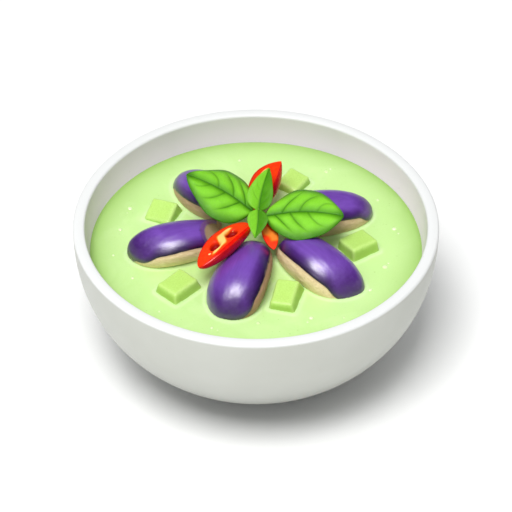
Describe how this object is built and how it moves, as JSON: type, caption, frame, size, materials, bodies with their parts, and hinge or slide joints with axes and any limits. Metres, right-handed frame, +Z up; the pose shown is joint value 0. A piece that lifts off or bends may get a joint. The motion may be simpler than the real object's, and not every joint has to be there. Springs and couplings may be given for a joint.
{
  "type": "thai green curry in a bowl",
  "caption": "Round thick-walled bowl of pale green curry with halved purple aubergines laid like petals, diced green vegetable, halved red chillies and a basil sprig.",
  "frame": {"origin": "middle of the bowl's foot, on the surface it stands on", "axes": "+Z up along the bowl's axis; -Y towards the side the aubergine half with the chilli beside it points to; +X to the right of that"},
  "size_m": [0.17, 0.1698, 0.0906],
  "materials": {
    "bowl": "smooth white glaze",
    "curry": "opaque coconut curry, softly glossy",
    "aubergine": "glossy purple skin over tan cut flesh",
    "chilli": "glossy red skin and wet red cut face",
    "diced_vegetable": "smooth cut vegetable flesh",
    "basil": "satin leaf"
  },
  "bodies": {
    "root": {"bowl": "bowl", "curry": "curry", "aubergine_left": "aubergine", "aubergine_front": "aubergine", "aubergine_front_right": "aubergine", "aubergine_right": "aubergine", "aubergine_back_left": "aubergine", "chilli_front": "chilli", "chilli_back": "chilli", "chilli_middle": "chilli", "cube_left": "diced_vegetable", "cube_front_left": "diced_vegetable", "cube_front_right": "diced_vegetable", "cube_right": "diced_vegetable", "cube_back": "diced_vegetable", "basil_leaf_left": "basil", "basil_leaf_right": "basil", "basil_leaf_back": "basil", "basil_leaf_front": "basil", "basil_stem": "basil"}
  },
  "joints": []
}
